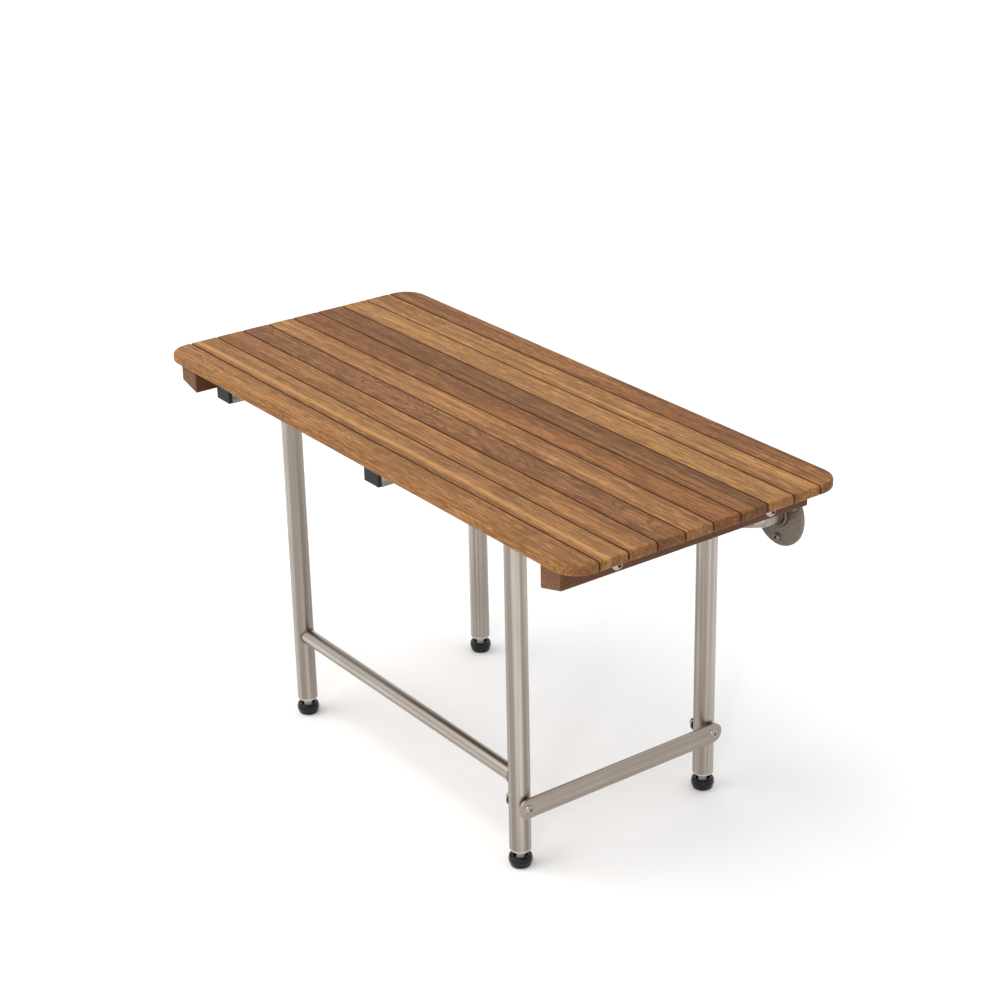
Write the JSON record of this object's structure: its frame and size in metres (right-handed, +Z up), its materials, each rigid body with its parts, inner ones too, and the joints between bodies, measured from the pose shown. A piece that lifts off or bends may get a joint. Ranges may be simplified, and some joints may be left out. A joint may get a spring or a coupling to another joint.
{
  "type": "folding shower bench",
  "caption": "Wall-mounted folding shower bench: slatted wooden seat on metal arms, four tube legs with levelling feet, front stretcher, flat link bar and bent wall rail with round flanges.",
  "frame": {"origin": "on the floor, in the middle of the bench's plan, half way between the seat's front edge and the wall", "axes": "+X along the seat to the side that has the link bar, +Y towards the wall, +Z up"},
  "size_m": [0.832, 0.4, 0.464],
  "materials": {
    "teak_golden": "oiled teak, golden brown, satin",
    "teak_pale": "oiled teak, pale tan, satin",
    "teak_brown": "oiled teak, mid brown, satin",
    "teak_dark": "oiled teak, grey brown, satin",
    "teak_batten": "oiled teak, dark brown, satin",
    "brushed_tube": "brushed stainless steel, brushed along the tube",
    "brushed_plate": "brushed stainless plate",
    "polished_fastener": "polished stainless fasteners",
    "inner_steel": "plain machined stainless",
    "black_cap": "black moulded plastic, fine matt grain",
    "foot_rubber": "black glossy moulded foot",
    "bush_nylon": "natural nylon bush"
  },
  "bodies": {
    "wall_frame": {"wall_rail": "brushed_tube", "wall_flange_left": "brushed_plate", "wall_flange_right": "brushed_plate", "rear_leg_left": "brushed_tube", "rear_leg_right": "brushed_tube", "hinge_post_left": "brushed_tube", "hinge_post_right": "brushed_tube", "hinge_barrel_rear_left": "brushed_tube", "hinge_barrel_rear_right": "brushed_tube", "hinge_bushes_rear": "bush_nylon", "leg_inserts_rear": "inner_steel", "link_screw_rear": "polished_fastener", "link_washers_rear": "polished_fastener", "link_nut_rear": "polished_fastener"},
    "seat": {"slat_01": "teak_golden", "slat_02": "teak_pale", "slat_03": "teak_golden", "slat_04": "teak_brown", "slat_05": "teak_golden", "slat_06": "teak_brown", "slat_07": "teak_dark", "slat_08": "teak_pale", "slat_09": "teak_pale", "slat_10": "teak_brown", "end_batten_left": "teak_batten", "end_batten_right": "teak_batten", "seat_arm_left": "brushed_tube", "arm_cap_front_left": "black_cap", "seat_arm_middle": "brushed_tube", "arm_cap_front_middle": "black_cap", "seat_arm_right": "brushed_tube", "arm_cap_front_right": "black_cap", "arm_caps_rear": "black_cap", "batten_bolts": "polished_fastener", "batten_blind_nuts": "inner_steel", "slat_screws": "polished_fastener", "cross_tube_front": "brushed_tube", "cross_tube_rear": "brushed_tube", "hinge_collars": "inner_steel"},
    "front_legs": {"front_leg_left": "brushed_tube", "front_leg_right": "brushed_tube", "hinge_barrel_front_left": "brushed_tube", "hinge_barrel_front_right": "brushed_tube", "hinge_bushes_front": "bush_nylon", "front_stretcher": "brushed_tube", "leg_inserts_front": "inner_steel", "link_screw_front": "polished_fastener", "link_washers_front": "polished_fastener", "link_nut_front": "polished_fastener"},
    "link": {"link_bar": "brushed_plate"},
    "foot_front_left": {"foot_pad_front_left": "foot_rubber", "foot_stud_front_left": "polished_fastener"},
    "foot_front_right": {"foot_pad_front_right": "foot_rubber", "foot_stud_front_right": "polished_fastener"},
    "foot_rear_left": {"foot_pad_rear_left": "foot_rubber", "foot_stud_rear_left": "polished_fastener"},
    "foot_rear_right": {"foot_pad_rear_right": "foot_rubber", "foot_stud_rear_right": "polished_fastener"}
  },
  "joints": [
    {"name": "seat_fold", "type": "hinge", "parent": "wall_frame", "child": "seat", "pos_m": [0, 0.146, 0.4305], "axis": [-1, 0, 0], "range_deg": [0, 84]},
    {"name": "front_leg_fold", "type": "hinge", "parent": "seat", "child": "front_legs", "pos_m": [0, -0.131, 0.4305], "axis": [-1, 0, 0], "range_deg": [-84, 0]},
    {"name": "link_fold", "type": "hinge", "parent": "wall_frame", "child": "link", "pos_m": [0.2462, 0.146, 0.082], "axis": [-1, 0, 0], "range_deg": [0, 84]},
    {"name": "foot_front_left_screw_out", "type": "slide", "parent": "front_legs", "child": "foot_front_left", "axis": [0, 0, -1], "range_m": [0, 0.015]},
    {"name": "foot_front_right_screw_out", "type": "slide", "parent": "front_legs", "child": "foot_front_right", "axis": [0, 0, -1], "range_m": [0, 0.015]},
    {"name": "foot_rear_left_screw_out", "type": "slide", "parent": "wall_frame", "child": "foot_rear_left", "axis": [0, 0, -1], "range_m": [0, 0.015]},
    {"name": "foot_rear_right_screw_out", "type": "slide", "parent": "wall_frame", "child": "foot_rear_right", "axis": [0, 0, -1], "range_m": [0, 0.015]}
  ],
  "couplings": [
    {"joint": "front_leg_fold", "follows": "seat_fold", "ratio": -1},
    {"joint": "link_fold", "follows": "seat_fold", "ratio": 1}
  ]
}
